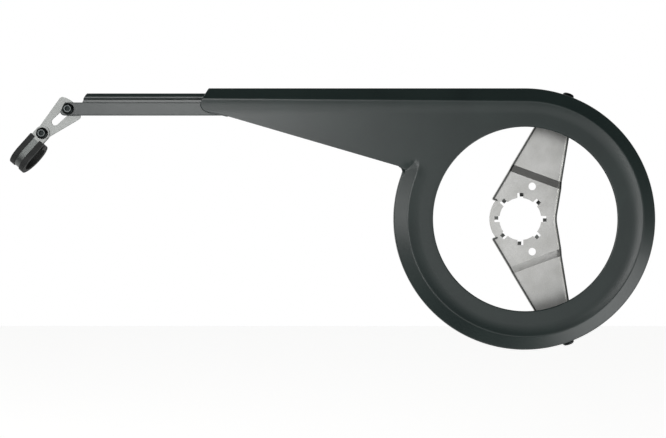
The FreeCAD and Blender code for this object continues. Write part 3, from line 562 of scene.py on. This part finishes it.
# the rolls' grain is a few hundredths of a millimetre wide, and all of it is drawn coarser to show:
# pale steel with blurred reflections, its cut edges and bent teeth painted darker as shade (the cut
# edges are also a little darker as punched), and the duller grey of zinc plate
STAINLESS = rolled_steel("stainless_sheet", ("BEBEBC", "DADAD8"), 0.44, 0.9, (1.0, 1.0, 2.5))
EDGE_AND_PAINTED_SHADE = rolled_steel("cut_edge_and_painted_shade", ("4A4C4B", "6A6C6A"), 0.5, 0.5, (1.0, 1.0, 1.0))
ZINC = rolled_steel("zinc_plate", ("878988", "9A9C9A"), 0.48, 0.8, (1.6, 1.0, 1.0))


def softened(node, name, width, adjust=None):
    """A merged copy of a CAD node with whole flat sides, adjusted if asked, its edges rounded."""
    clear_choice()
    piece = bpy.data.objects.new(name, NODES[node].data.copy())
    piece.data.name = name
    piece.data.materials.clear()
    bpy.context.scene.collection.objects.link(piece)
    edit_mesh(piece)
    bpy.ops.mesh.select_all(action="SELECT")
    bpy.ops.mesh.remove_doubles(threshold=0.000002)
    bpy.ops.mesh.customdata_custom_splitnormals_clear()
    bpy.ops.mesh.select_all(action="SELECT")
    bpy.ops.mesh.dissolve_limited(angle_limit=math.radians(0.5))
    if adjust:
        adjust(piece)
    round_edges(piece, width, 40, segments=2, clamp=True)
    return piece


def notch_place(spot):
    """The nearest of the bore's eight notches, and a point's place along and across it in mm."""
    index = round(math.degrees(math.atan2(-spot.z, spot.x)) / 45) % 8
    turn = math.radians(45 * index)
    return (index, (spot.x * math.cos(turn) - spot.z * math.sin(turn)) / MM,
            (spot.x * math.sin(turn) + spot.z * math.cos(turn)) / MM)


def arm_reach(spot):
    """How far out along its arm a point lies, in mm."""
    return (spot.x * math.cos(math.radians(ARM)) + abs(spot.z) * math.sin(math.radians(ARM))) / MM


def bend_bracket(piece):
    """Makes the arms' step shallower, bends the bore's teeth and rounds the flanges' folds."""
    low, high = TOOTH_SIDES
    arm_y = STEP - SHEET
    for side in (-SHEET, 0.0):
        for index in range(8):
            pick(piece, lambda v: abs(v.co.y / MM - side) < 0.01 and notch_place(v.co)[0] == index
                 and abs(notch_place(v.co)[1] - TOOTH_ROOT) < 0.02
                 and low < notch_place(v.co)[2] < high)
            bpy.ops.mesh.vert_connect()
    mesh = bmesh.from_edit_mesh(piece.data)
    for vertex in mesh.verts:
        past = clipped((arm_reach(vertex.co) - LOSS_START) / LOSS_RUN)
        inwards = clipped((vertex.co.y / MM - TAB_Y) / (arm_y - TAB_Y))
        vertex.co.y -= STEP_LOSS * MM * past * inwards
        index, reach, aside = notch_place(vertex.co)
        if TOOTH_TIP - 0.2 < reach < TOOTH_ROOT + 0.1 and low < aside < high:
            aside += 0.5 if aside > -1 else -0.45
            turn = math.radians(45 * index)
            vertex.co.x = (reach * math.cos(turn) + aside * math.sin(turn)) * MM
            vertex.co.z = (aside * math.cos(turn) - reach * math.sin(turn)) * MM
            if reach < TOOTH_TIP:
                vertex.co.y -= TOOTH_LIFT * MM
    bmesh.update_edit_mesh(piece.data)
    pick(piece, lambda edge: len(edge.link_faces) == 2 and not edge.is_convex
         and edge.calc_face_angle(0.0) > math.radians(60)
         and all(math.hypot(v.co.x, v.co.z) < FOLD_END * MM for v in edge.verts), "edges")
    bpy.ops.mesh.bevel(offset=FOLD * MM, segments=4, profile=0.5, clamp_overlap=True,
                       affect="EDGES")


bracket = softened("frame_bracket", "steel_bracket", 0.15, adjust=bend_bracket)
bracket.data.materials.append(STAINLESS)
bracket.data.materials.append(EDGE_AND_PAINTED_SHADE)
bpy.ops.object.mode_set(mode="OBJECT")
# the cut edges that face outwards on the flanges are darker than the sheet, partly as punched and
# partly as painted shade; the teeth are painted darker as shade
for face in bracket.data.polygons:
    along = arm_reach(face.center)
    plate = -SHEET + (STEP - STEP_LOSS) * clipped((along - FACE_START) / FACE_RUN)
    flange = face.normal.y < -0.5 and face.center.y / MM < plate - CUT_DEPTH and along < ARM_END
    index, reach, aside = notch_place(face.center)
    tooth = TOOTH_TIP - 0.2 < reach < TOOTH_ROOT - 0.2 and -2.4 < aside < 0.7
    if flange or tooth:
        face.material_index = 1
finish_piece(bracket, "guard")
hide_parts("frame_bracket")


# Slotted link
# A zinc plated steel wedge, 2 mm thick, blanked with a long slot for the stay's screw and a round
# hole for the clip's.
link = softened("slotted_link", "zinc_link", 0.2)
finish_piece(link, "link", ZINC)
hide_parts("slotted_link")


# Clip band
# A strip of the same steel, 12 mm wide and 1 mm thick, bent round the chainstay, both its ends
# rounded and drilled for the clip's screw. Between the liner's lips it is painted darker, as shade.
LINK_ANGLE, CLIP_ANGLE = math.radians(42.5), math.radians(228.2)
LINK_REACH, LINER_START = 29.2, 7.4
CLIP_HOLE = (STAY_HOLE[0] - LINK_REACH * math.cos(LINK_ANGLE),
             STAY_HOLE[1] - LINK_REACH * math.sin(LINK_ANGLE))
CLIP_WAY = Vector((math.cos(CLIP_ANGLE), 0, math.sin(CLIP_ANGLE)))
PAINTED_SHADE_FROM = Vector((CLIP_HOLE[0], 0, CLIP_HOLE[1])) * MM + CLIP_WAY * LINER_START * MM
# painted shade: a darker, flatter grey inside the liner's window
PAINTED_SHADE_ZINC = rolled_steel("zinc_painted_shade", ("5A5D5C", "6C6F6E"), 0.42, 0.8, (1.6, 1.0, 1.0))


def split_band(piece):
    """An edge across the strip where the liner starts."""
    bpy.ops.mesh.select_all(action="SELECT")
    bpy.ops.mesh.bisect(plane_co=PAINTED_SHADE_FROM, plane_no=CLIP_WAY)


band = softened("clip_band", "clip_strip", 0.15, adjust=split_band)
band.data.materials.append(ZINC)
band.data.materials.append(PAINTED_SHADE_ZINC)
bpy.ops.object.mode_set(mode="OBJECT")
# inside the liner's window the strip takes the painted shade
for face in band.data.polygons:
    if (face.center - PAINTED_SHADE_FROM).dot(CLIP_WAY) > 0:
        face.material_index = 1
finish_piece(band, "clip")
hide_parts("clip_band")


# Rubber liner
# A black rubber channel is pushed on to the band. Its lips fold over the band's edges and leave a
# window of bare steel between them.
def moulded_rubber(name, tones, grain_mm):
    """Black EPDM with a dull bloom and a fine mould grain."""
    material, tree = new_material(name)
    place = add_node(tree, "TexCoord").outputs["Object"]
    grain = add_node(tree, "TexNoise", values={"Scale": 1000.0 / grain_mm, "Detail": 4.0},
                     links={"Vector": place})
    bloom = add_node(tree, "TexNoise", values={"Scale": 160.0, "Detail": 3.0},
                     links={"Vector": place})
    tint = add_node(tree, "ValToRGB", {"stops": [(0.3, colour(tones[0])), (0.7, colour(tones[1]))]},
                    links={"Fac": bloom.outputs["Fac"]})
    gloss = add_node(tree, "MapRange", links={"Value": bloom.outputs["Fac"]},
                     values={"From Min": 0.3, "From Max": 0.7, "To Min": 0.66, "To Max": 0.82})
    relief = add_node(tree, "Bump", values={"Strength": 0.4, "Distance": 0.00005},
                      links={"Height": grain.outputs["Fac"]})
    shader = add_node(tree, "BsdfPrincipled", values={"IOR": 1.5, "Metallic": 0.0},
                      links={"Base Color": tint.outputs["Color"],
                             "Roughness": gloss.outputs["Result"],
                             "Normal": relief.outputs["Normal"]})
    add_node(tree, "OutputMaterial", links={"Surface": shader.outputs["BSDF"]})
    return material


# nearly black, with hardly a highlight; its grain of about 0.2 mm is drawn at 0.6 mm to show
RUBBER = moulded_rubber("black_rubber", ("0F1111", "171A19"), 0.6)
liner = softened("clip_rubber", "rubber_liner", 0.25)
finish_piece(liner, "clip", RUBBER)
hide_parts("clip_rubber")


# Screws and nuts
# Button head screws with a hexagon socket, turned and blacked, with a painted highlight: a brighter
# ring on the flat round the socket. The plain nuts and washers behind them are zinc plated.

# a screw's shank and head radius and head height; a nut's bore, face, flats, height and chamfer
M5, FIXING, M5_NUT = (2.5, 4.75, 2.75), (1.7, 3.5, 2.4), (2.56, 3.85, 8.0, 4.0, 0.55)
PITCH, THREAD_ROOT, SOCKET = 0.8, 0.86, 0.63


def blacked_steel(name, tones, roughness):
    """Black finished steel: dark, half dull, with fine turning marks."""
    material, tree = new_material(name)
    place = add_node(tree, "TexCoord").outputs["Object"]
    grain = add_node(tree, "TexNoise", values={"Scale": 1800.0, "Detail": 3.0},
                     links={"Vector": place})
    tint = add_node(tree, "ValToRGB", {"stops": [(0.3, colour(tones[0])), (0.7, colour(tones[1]))]},
                    links={"Fac": grain.outputs["Fac"]})
    gloss = add_node(tree, "MapRange", links={"Value": grain.outputs["Fac"]},
                     values={"From Min": 0.3, "From Max": 0.7, "To Min": roughness - 0.05,
                             "To Max": roughness + 0.05})
    relief = add_node(tree, "Bump", values={"Strength": 0.2, "Distance": 0.00002},
                      links={"Height": grain.outputs["Fac"]})
    shader = add_node(tree, "BsdfPrincipled", values={"Metallic": 1.0},
                      links={"Base Color": tint.outputs["Color"],
                             "Roughness": gloss.outputs["Result"],
                             "Normal": relief.outputs["Normal"]})
    add_node(tree, "OutputMaterial", links={"Surface": shader.outputs["BSDF"]})
    return material


# black heads with a small highlight, and a painted highlight as a brighter ring round the socket;
# the turning marks, a tenth of a millimetre apart, are drawn at 0.6 mm to show
BLACKED = blacked_steel("blacked_steel", ("1A1D1D", "2A2E2E"), 0.36)
SOCKET_HIGHLIGHT = blacked_steel("painted_highlight_steel", ("4E5151", "636767"), 0.4)


def hexed(radius, flats, angle):
    """The radius of a hexagon's outline at an angle, from its width across flats, if it has any."""
    sixth = math.pi / 3
    return flats / 2 / math.cos((angle + sixth / 2) % sixth - sixth / 2) if flats else radius


def turned(name, loops, closed=False):
    """A piece turned about +Z from loops: radius, height and, for a hexagon, flats and chamfer."""
    clear_choice()
    bpy.ops.mesh.primitive_circle_add(vertices=48, radius=loops[0][0] * MM,
                                      fill_type="NOTHING" if closed else "NGON",
                                      location=(0, 0, loops[0][1] * MM))
    piece = bpy.context.object
    piece.name = piece.data.name = name
    bpy.ops.object.transform_apply(location=True, rotation=True, scale=True)
    edit_mesh(piece)
    bpy.ops.mesh.select_mode(type="VERT" if closed else "FACE")
    bpy.ops.mesh.select_all(action="SELECT")
    for before, loop in zip(loops, loops[1:]):
        climb = (0, 0, (loop[1] - before[1]) * MM)
        bpy.ops.mesh.extrude_region_move(TRANSFORM_OT_translate={"value": climb})
        mesh = bmesh.from_edit_mesh(piece.data)
        for vertex in mesh.verts:
            if vertex.select:
                angle = math.atan2(vertex.co.y, vertex.co.x)
                radius = hexed(loop[0], loop[2] if len(loop) > 2 else 0, angle)
                height = loop[1] + (loop[3] * (radius - loop[0]) if len(loop) > 3 else 0)
                spot = (radius * math.cos(angle), radius * math.sin(angle), height)
                vertex.co = Vector(spot) * MM
        bmesh.update_edit_mesh(piece.data)
    if closed:
        bpy.ops.mesh.select_all(action="SELECT")
        bpy.ops.mesh.remove_doubles(threshold=0.000005)
    bpy.ops.mesh.select_all(action="SELECT")
    bpy.ops.mesh.normals_make_consistent(inside=False)
    bpy.ops.object.mode_set(mode="OBJECT")
    return piece


def button_screw(name, shank, head, height, length, plain):
    """A button head screw: pointed end, thread, plain neck, crowned head and hexagon socket."""
    depth = -length + 0.2 * shank
    loops = [(0.8 * shank, -length), (shank, depth)]
    while depth + PITCH < -plain:
        loops += [(shank, depth + 0.1), (THREAD_ROOT * shank, depth + 0.4),
                  (THREAD_ROOT * shank, depth + 0.5), (shank, depth + PITCH)]
        depth += PITCH
    loops += [(shank, 0), (0.94 * head, 0), (head, 0.06 * height), (head, 0.2 * height)]
    for step in range(1, 7):
        turn = step / 6 * math.pi / 2
        loops.append((0.6 * head + 0.4 * head * math.cos(turn),
                      0.2 * height + 0.78 * height * math.sin(turn)))
    flats = SOCKET * head
    loops += [(0.58 * head, height), (0.48 * head, height), (0.36 * head, height),
              (flats / 2, 0.94 * height, flats), (flats / 2, 0.45 * height, flats)]
    piece = turned(name, loops)
    piece.data.materials.append(BLACKED)
    piece.data.materials.append(SOCKET_HIGHLIGHT)
    # the ring on the flat round the socket takes the painted highlight
    for face in piece.data.polygons:
        reach = math.hypot(face.center.x, face.center.y) / MM
        if face.center.z > 0.97 * height * MM and 0.49 * head < reach < 0.6 * head:
            face.material_index = 1
    return piece


def placed(model, name, base, matrix, body, node):
    """A copy of a modelled fastener with its own mesh, moved to its place."""
    piece = bpy.data.objects.new(name, model.data.copy())
    piece.data.name = name
    bpy.context.scene.collection.objects.link(piece)
    piece.data.transform(Matrix.Translation(Vector(base) * MM) @ matrix)
    finish_piece(piece, body, smooth=28)
    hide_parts(node)


OUTWARD = Matrix.Rotation(math.radians(90), 4, "X")
INWARD = Matrix.Rotation(math.radians(-90), 4, "X")
bore, face, flats, height, chamfer = M5_NUT
hex_nut = turned("hex_nut", [(bore, 0), (face, 0), (face, 0, flats, chamfer),
                             (face, height, flats, -chamfer), (face, height), (bore, height),
                             (bore, 0)], closed=True)
hex_nut.data.materials.append(ZINC)
rim_screw = button_screw("rim_screw", *M5, length=9.3, plain=2.8)
TAB_HOLE_Y, HEAD_OUT, NUT_OUT = -16.0, 106.0, 97.7
for name, side in (("upper", 1), ("lower", -1)):
    turn = Matrix.Rotation(math.radians(90 - ARM * side), 4, "Y")
    for model, kind, reach, slot in ((rim_screw, "screw", HEAD_OUT, "black_screw"),
                                     (hex_nut, "nut", NUT_OUT, "zinc_steel")):
        spot = (reach * math.cos(math.radians(ARM)), TAB_HOLE_Y,
                side * reach * math.sin(math.radians(ARM)))
        placed(model, "%s_rim_%s_turned" % (name, kind), spot, turn, "guard",
               "%s_rim_%s" % (name, kind))
fixing_screw = button_screw("fixing_screw", *FIXING, length=7.0, plain=2.5)
for name, reach in FIXINGS.items():
    placed(fixing_screw, name + "_fixing_turned", (reach, STAY_BACK, FIXING_Z), INWARD, "guard",
           name + "_fixing_screw")
stay_screw = button_screw("stay_bolt", *M5, length=10.5, plain=4.5)
clip_screw = button_screw("clip_bolt", *M5, length=10.0, plain=4.0)
for model, name, place, depth, body, slot in (
        (stay_screw, "stay_screw", STAY_HOLE, STAY_FRONT, "stay_bolt", "black_screw"),
        (hex_nut, "stay_nut", STAY_HOLE, -10.0, "stay_bolt", "zinc_steel"),
        (clip_screw, "clip_screw", CLIP_HOLE, -18.0, "clip", "black_screw"),
        (hex_nut, "clip_nut", CLIP_HOLE, -9.0, "clip", "zinc_steel")):
    placed(model, name + "_turned", (place[0], depth, place[1]), OUTWARD, body, name)
for model in (hex_nut, rim_screw, fixing_screw, stay_screw, clip_screw):
    bpy.data.objects.remove(model)
for name in ("stay_washer", "clip_washer"):
    NODES[name].data.materials.clear()
    NODES[name].data.materials.append(ZINC)


# Lights and floor
# Two soft panels stand in front at the left, one at the left and one low at the right, in a small
# product tent with a dark roof, so the faces that look up stay dark. Backdrop and floor are white.
def softbox(name, place, target, width, height, radiance):
    """A panel lamp, turned to a point, that mirrors as bright as its radiance says (white is 1)."""
    light = bpy.data.lights.new(name, "AREA")
    light.shape = "RECTANGLE"
    light.size, light.size_y = width, height
    light.energy = radiance * width * height * math.pi
    lamp = bpy.data.objects.new(name, light)
    lamp.location = place
    lamp.rotation_euler = (Vector(target) - Vector(place)).to_track_quat("-Z", "Y").to_euler()
    bpy.context.scene.collection.objects.link(lamp)


softbox("front_left", (-0.56, -1.8, 0.33), (-0.3, 0, 0.09), 0.6, 0.5, 7.4)
softbox("low_left", (-0.57, -1.78, -0.4), (-0.3, 0, 0.09), 0.44, 0.36, 5.6)
softbox("left", (-1.35, -0.95, 0.3), (0, 0, 0), 0.7, 0.9, 3.4)
softbox("low_right", (0.93, -0.58, -0.78), (0.04, 0, -0.05), 0.8, 1.15, 3.5)

clear_choice()
bpy.ops.mesh.primitive_grid_add(x_subdivisions=4, y_subdivisions=4, size=1.0)
floor = bpy.context.object
floor.name = floor.data.name = "pale_floor"
floor.data.transform(Matrix.Translation((-0.15, 1.05, -0.3)) @ Matrix.Diagonal((2.6, 2.3, 1, 1)))
paper, tree = new_material("pale_paper")
place = add_node(tree, "TexCoord").outputs["Object"]
fibres = add_node(tree, "TexNoise", values={"Scale": 400.0, "Detail": 4.0}, links={"Vector": place})
tint = add_node(tree, "ValToRGB", {"stops": [(0.3, colour("ECECEA")), (0.7, colour("F2F2F0"))]},
                links={"Fac": fibres.outputs["Fac"]})
matt = add_node(tree, "BsdfDiffuse", links={"Color": tint.outputs["Color"]})
# the paper glows to the camera and in reflections, so that it looks as white as the backdrop there
rays = add_node(tree, "LightPath").outputs
seen = add_node(tree, "Math", {"operation": "MAXIMUM"},
                links={0: rays["Is Camera Ray"], 1: rays["Is Glossy Ray"]})
clear = add_node(tree, "Math", {"operation": "MAXIMUM"},
                 links={0: seen.outputs[0], 1: rays["Is Transmission Ray"]})
lift = add_node(tree, "Math", {"operation": "MULTIPLY"}, {1: 0.74}, {0: clear.outputs[0]})
glow = add_node(tree, "Emission", values={"Color": colour("FFFFFF")},
                links={"Strength": lift.outputs[0]})
white = add_node(tree, "AddShader", links={0: matt.outputs[0], 1: glow.outputs[0]})
add_node(tree, "OutputMaterial", links={"Surface": white.outputs[0]})
floor.data.materials.append(paper)
floor.select_set(False)

world = bpy.data.worlds.new("studio")
world.use_nodes = True
bpy.context.scene.world = world
sky = world.node_tree
sky.nodes.clear()
paths = add_node(sky, "LightPath").outputs
aim = add_node(sky, "TexCoord").outputs["Generated"]
axes = add_node(sky, "SeparateXYZ", links={0: aim}).outputs
# the backdrop: white to the camera all round, and behind the guard also to what mirrors it
behind = add_node(sky, "MapRange", {"interpolation_type": "SMOOTHSTEP"},
                  {"From Min": 0.0, "From Max": 0.5, "To Min": 0.0, "To Max": 1.0},
                  {"Value": axes["Y"]})
mirrored = add_node(sky, "Math", {"operation": "MAXIMUM"},
                    links={0: paths["Is Glossy Ray"], 1: paths["Is Transmission Ray"]})
lit = add_node(sky, "MapRange", values={"To Min": 0.6, "To Max": 1.0},
               links={"Value": mirrored.outputs[0]})
backdrop = add_node(sky, "Math", {"operation": "MULTIPLY"},
                    links={0: lit.outputs["Result"], 1: behind.outputs["Result"]})
seen = add_node(sky, "Math", {"operation": "MAXIMUM"},
                links={0: paths["Is Camera Ray"], 1: backdrop.outputs[0]})
# the tent in front: how bright it is at each height, from straight down to straight up
height = add_node(sky, "MapRange", values={"From Min": -1.0, "From Max": 1.0},
                  links={"Value": axes["Z"]})
bands = ((0.0, 0.1), (0.1, 0.03), (0.2, 0.12), (0.27, 0.6), (0.36, 0.9), (0.46, 0.95), (0.5, 0.85),
         (0.56, 0.4), (0.63, 0.1), (0.75, 0.03), (0.95, 0.12))
tent = add_node(sky, "ValToRGB", {"stops": [(spot, (tone, tone, tone, 1)) for spot, tone in bands]},
                links={"Fac": height.outputs["Result"]})
front = add_node(sky, "MapRange", {"interpolation_type": "SMOOTHSTEP"},
                 {"From Min": -0.2, "From Max": -0.9, "To Min": 0.1, "To Max": 1.0},
                 {"Value": axes["Y"]})
dim = add_node(sky, "Math", {"operation": "MULTIPLY"},
               links={0: tent.outputs["Color"], 1: front.outputs["Result"]})
shade = add_node(sky, "Background", values={"Color": colour("FFFFFF")},
                 links={"Strength": dim.outputs[0]})
white = add_node(sky, "Background", values={"Color": colour("FFFFFF"), "Strength": 1.0})
both = add_node(sky, "MixShader",
                links={0: seen.outputs[0], 1: shade.outputs[0], 2: white.outputs[0]})
add_node(sky, "OutputWorld", links={"Surface": both.outputs[0]})

bpy.context.scene.view_settings.view_transform = "Standard"
